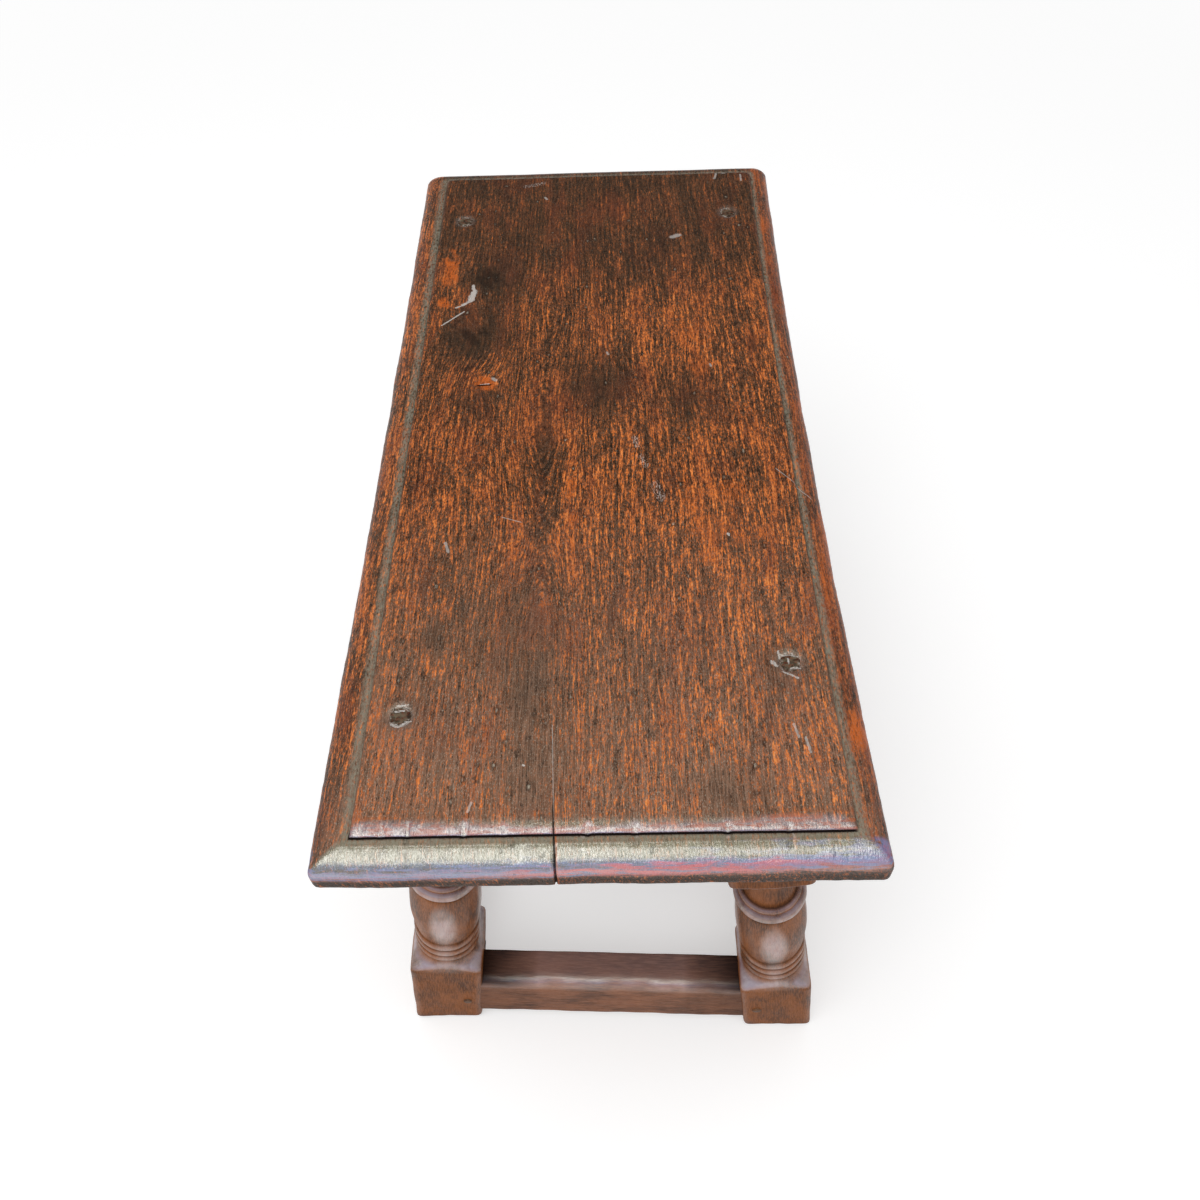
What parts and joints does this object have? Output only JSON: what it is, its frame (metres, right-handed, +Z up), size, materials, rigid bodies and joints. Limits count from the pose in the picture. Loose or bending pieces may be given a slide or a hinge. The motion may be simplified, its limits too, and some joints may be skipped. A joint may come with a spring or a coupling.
{
  "type": "joint stool",
  "caption": "Low oak joined stool: a moulded board seat pegged to turned, splayed legs held by mortised rails and low stretchers.",
  "frame": {"origin": "on the floor under the middle of the seat", "axes": "+Z up; +Y along the length of the seat, away from the pictured end; +X to the right seen from that end"},
  "size_m": [0.2922, 0.59, 0.365],
  "materials": {
    "seat_oak": "old waxed oak, dark",
    "leg_oak": "old waxed oak, rubbed",
    "rail_oak": "old waxed oak",
    "stretcher_oak": "old waxed oak, worn",
    "peg_oak": "riven oak, end grain"
  },
  "bodies": {
    "root": {"seat_board": "seat_oak", "leg_front_left": "leg_oak", "leg_front_right": "leg_oak", "leg_back_left": "leg_oak", "leg_back_right": "leg_oak", "side_rail_left": "rail_oak", "side_stretcher_left": "stretcher_oak", "side_rail_right": "rail_oak", "side_stretcher_right": "stretcher_oak", "end_rail_front": "rail_oak", "end_stretcher_front": "stretcher_oak", "end_rail_back": "rail_oak", "end_stretcher_back": "stretcher_oak", "rail_pegs_front_left": "peg_oak", "stretcher_pegs_front_left": "peg_oak", "seat_peg_front_left": "peg_oak", "rail_pegs_front_right": "peg_oak", "stretcher_pegs_front_right": "peg_oak", "seat_peg_front_right": "peg_oak", "rail_pegs_back_left": "peg_oak", "stretcher_pegs_back_left": "peg_oak", "seat_peg_back_left": "peg_oak", "rail_pegs_back_right": "peg_oak", "stretcher_pegs_back_right": "peg_oak", "seat_peg_back_right": "peg_oak"}
  },
  "joints": []
}
